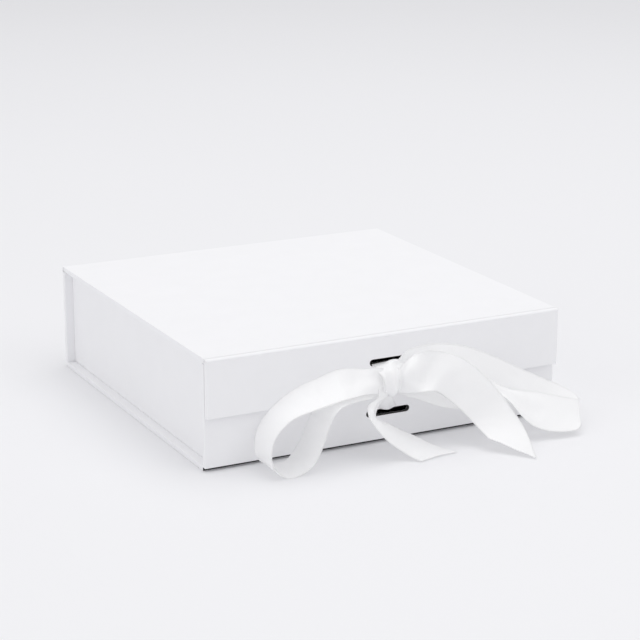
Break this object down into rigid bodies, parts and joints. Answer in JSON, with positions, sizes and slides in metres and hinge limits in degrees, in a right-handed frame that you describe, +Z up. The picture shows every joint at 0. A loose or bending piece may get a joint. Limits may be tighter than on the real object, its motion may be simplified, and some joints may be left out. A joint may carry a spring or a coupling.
{
  "type": "favor box",
  "caption": "Flat white gift box of wrapped board with a hinged lid, a magnetic front flap and a satin ribbon tied in a bow through slots in its front.",
  "frame": {"origin": "middle of the base's underside, midway between the front wall and the spine", "axes": "+Z up through the lid, +Y from the front towards the spine, +X along the front to the right"},
  "size_m": [0.2315, 0.2832, 0.0655],
  "materials": {
    "wrap_paper": "smooth uncoated white paper",
    "liner_paper": "smooth white paper",
    "greyboard": "raw grey board",
    "satin_ribbon": "white satin with a soft sheen",
    "magnet": "nickel plated",
    "steel": "plain sheet steel"
  },
  "bodies": {
    "tray": {"base_board": "greyboard", "base_wrap": "wrap_paper", "base_liner": "liner_paper", "front_board": "greyboard", "front_wrap": "wrap_paper", "front_liner": "liner_paper", "spine_board": "greyboard", "spine_wrap": "wrap_paper", "spine_liner": "liner_paper", "left_wall_board": "greyboard", "left_wall_wrap": "wrap_paper", "left_wall_liner": "liner_paper", "right_wall_board": "greyboard", "right_wall_wrap": "wrap_paper", "right_wall_liner": "liner_paper", "corner_tabs": "liner_paper", "steel_discs": "steel", "lid_fold": "wrap_paper", "lower_ribbon": "satin_ribbon"},
    "lid": {"lid_board": "greyboard", "lid_wrap": "wrap_paper", "lid_liner": "liner_paper", "flap_fold": "wrap_paper"},
    "flap": {"flap_board": "greyboard", "flap_wrap": "wrap_paper", "flap_liner": "liner_paper", "magnets": "magnet", "upper_ribbon": "satin_ribbon", "lower_ribbon_end": "satin_ribbon", "bow_knot": "satin_ribbon", "left_loop": "satin_ribbon", "right_loop": "satin_ribbon", "front_tail": "satin_ribbon", "right_tail": "satin_ribbon"}
  },
  "joints": [
    {"name": "lid_hinge", "type": "hinge", "parent": "tray", "child": "lid", "pos_m": [0, 0.108, 0.064], "axis": [-1, 0, 0], "range_deg": [0, 180], "deforming": ["lid_fold"]},
    {"name": "flap_hinge", "type": "hinge", "parent": "lid", "child": "flap", "pos_m": [0, -0.1118, 0.064], "axis": [-1, 0, 0], "range_deg": [0, 90], "deforming": ["flap_fold"]}
  ]
}
